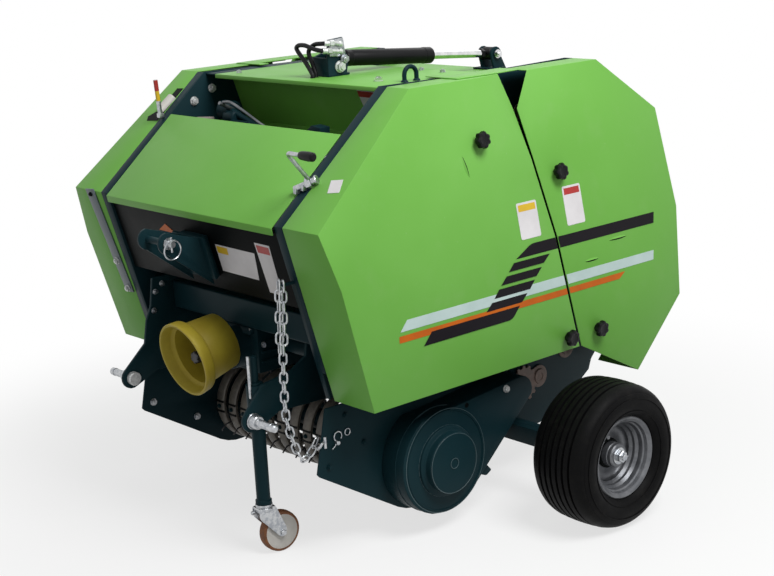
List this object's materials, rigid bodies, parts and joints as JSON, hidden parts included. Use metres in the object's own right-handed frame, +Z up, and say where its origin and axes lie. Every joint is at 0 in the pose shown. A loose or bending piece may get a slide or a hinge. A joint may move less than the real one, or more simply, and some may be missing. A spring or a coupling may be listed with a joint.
{
  "type": "mini round baler",
  "caption": "Small green round baler for a tractor's rear hitch, with a tine pickup, roller chamber, hinged tailgate with a hydraulic cylinder, transport wheels and a parking jack",
  "frame": {"origin": "on the ground, under the middle of the machine's length and width", "axes": "+X is the machine's left side, -Y its front and hitch side, +Z up"},
  "size_m": [1.788, 1.4934, 1.346],
  "materials": {
    "green_paint": "glossy bright green paint",
    "frame_paint": "dark teal paint",
    "black_paint": "satin black paint",
    "hose_rubber": "black hose rubber",
    "yellow_plastic": "mustard yellow moulded plastic",
    "roller_steel": "worn rolled steel",
    "zinc_steel": "zinc plated steel",
    "chrome": "hard chrome",
    "tyre_rubber": "matt black tyre rubber",
    "band_steel": "grey brown bare steel",
    "white_plastic": "off-white plastic",
    "red_paint": "red, yellow and white bands"
  },
  "bodies": {
    "frame": {"frame_side_left": "frame_paint", "frame_side_right": "frame_paint", "front_rollers": "roller_steel", "feed_rollers": "roller_steel", "front_cover": "green_paint", "top_sheet": "green_paint", "twine_box": "green_paint", "hinge_cover_left": "green_paint", "hinge_cover_right": "green_paint", "front_panel": "black_paint", "frame_beam": "frame_paint", "hitch_plate_left": "frame_paint", "hitch_plate_right": "frame_paint", "top_link_bracket": "frame_paint", "gearbox": "frame_paint", "pto_guard": "yellow_plastic", "axle_beam": "frame_paint", "cylinder_bracket": "frame_paint", "jack_sleeve": "zinc_steel", "crank_handle": "zinc_steel", "lifting_eye": "frame_paint", "indicator_rod": "red_paint", "hydraulic_hose_inner": "hose_rubber", "hydraulic_hose_outer": "hose_rubber", "pickup_chain": "zinc_steel", "twine_arm": "frame_paint", "twine_roller": "zinc_steel"},
    "wheel_left": {"tyre_left": "tyre_rubber", "rim_left": "zinc_steel"},
    "wheel_right": {"tyre_right": "tyre_rubber", "rim_right": "zinc_steel"},
    "tailgate": {"gate_side_left": "frame_paint", "gate_side_right": "frame_paint", "gate_cover": "green_paint", "rear_rollers": "roller_steel", "rod_bracket": "frame_paint"},
    "front_guard_left": {"guard_front_left": "green_paint"},
    "front_guard_right": {"guard_front_right": "green_paint"},
    "rear_guard_left": {"guard_rear_left": "green_paint"},
    "rear_guard_right": {"guard_rear_right": "green_paint"},
    "barrel": {"cylinder_barrel": "black_paint"},
    "piston_rod": {"cylinder_rod": "chrome"},
    "pickup": {"pickup_side_left": "frame_paint", "pickup_side_right": "frame_paint", "pickup_bands": "band_steel", "pickup_drive_cover": "frame_paint"},
    "reel": {"pickup_reel": "black_paint"},
    "input_shaft": {"pto_shaft": "zinc_steel"},
    "jack": {"jack_leg": "frame_paint"},
    "caster": {"caster_fork": "zinc_steel"},
    "caster_disc": {"caster_wheel": "white_plastic"}
  },
  "joints": [
    {"name": "wheel_left_spin", "type": "hinge", "parent": "frame", "child": "wheel_left", "pos_m": [0.794, 0.16225, 0.205], "axis": [1, 0, 0], "continuous": true},
    {"name": "wheel_right_spin", "type": "hinge", "parent": "frame", "child": "wheel_right", "pos_m": [-0.794, 0.16225, 0.205], "axis": [1, 0, 0], "continuous": true},
    {"name": "tailgate_hinge", "type": "hinge", "parent": "frame", "child": "tailgate", "pos_m": [0, 0.02725, 1.195], "axis": [1, 0, 0], "range_deg": [0, 62]},
    {"name": "barrel_pivot", "type": "hinge", "parent": "frame", "child": "barrel", "pos_m": [0.04, -0.09775, 1.285], "axis": [1, 0, 0], "range_deg": [0, 54]},
    {"name": "rod_slide", "type": "slide", "parent": "barrel", "child": "piston_rod", "axis": [0, 0.9969, -0.0789], "range_m": [-0.1357, 0]},
    {"name": "front_guard_left_hinge", "type": "hinge", "parent": "frame", "child": "front_guard_left", "pos_m": [0.435, -0.48875, 0.441], "axis": [0, 0.262, -0.9651], "range_deg": [0, 95]},
    {"name": "front_guard_right_hinge", "type": "hinge", "parent": "frame", "child": "front_guard_right", "pos_m": [-0.435, -0.48875, 0.441], "axis": [0, -0.262, 0.9651], "range_deg": [0, 95]},
    {"name": "rear_guard_left_hinge", "type": "hinge", "parent": "tailgate", "child": "rear_guard_left", "pos_m": [0.435, 0.74675, 0.505], "axis": [0, -0.0888, 0.996], "range_deg": [0, 95]},
    {"name": "rear_guard_right_hinge", "type": "hinge", "parent": "tailgate", "child": "rear_guard_right", "pos_m": [-0.435, 0.74675, 0.505], "axis": [0, 0.0888, -0.996], "range_deg": [0, 95]},
    {"name": "pickup_pivot", "type": "hinge", "parent": "frame", "child": "pickup", "pos_m": [0, 0.08325, 0.333], "axis": [-1, 0, 0], "range_deg": [-4, 8]},
    {"name": "reel_spin", "type": "hinge", "parent": "pickup", "child": "reel", "pos_m": [0, -0.17775, 0.207], "axis": [1, 0, 0], "continuous": true},
    {"name": "input_shaft_spin", "type": "hinge", "parent": "frame", "child": "input_shaft", "pos_m": [0, -0.51275, 0.511], "axis": [0, -1, 0], "continuous": true},
    {"name": "jack_slide", "type": "slide", "parent": "frame", "child": "jack", "axis": [0, 0, 1], "range_m": [0, 0.2]},
    {"name": "caster_swivel", "type": "hinge", "parent": "jack", "child": "caster", "pos_m": [0.2657, -0.62075, 0.148], "axis": [0, 0, 1], "continuous": true},
    {"name": "caster_roll", "type": "hinge", "parent": "caster", "child": "caster_disc", "pos_m": [0.27009, -0.57898, 0.0575], "axis": [0.9945, -0.1045, 0], "continuous": true}
  ],
  "couplings": [
    {"joint": "barrel_pivot", "follows": "tailgate_hinge", "ratio": 0.8589},
    {"joint": "rod_slide", "follows": "tailgate_hinge", "m_per_rad": -0.1245}
  ]
}
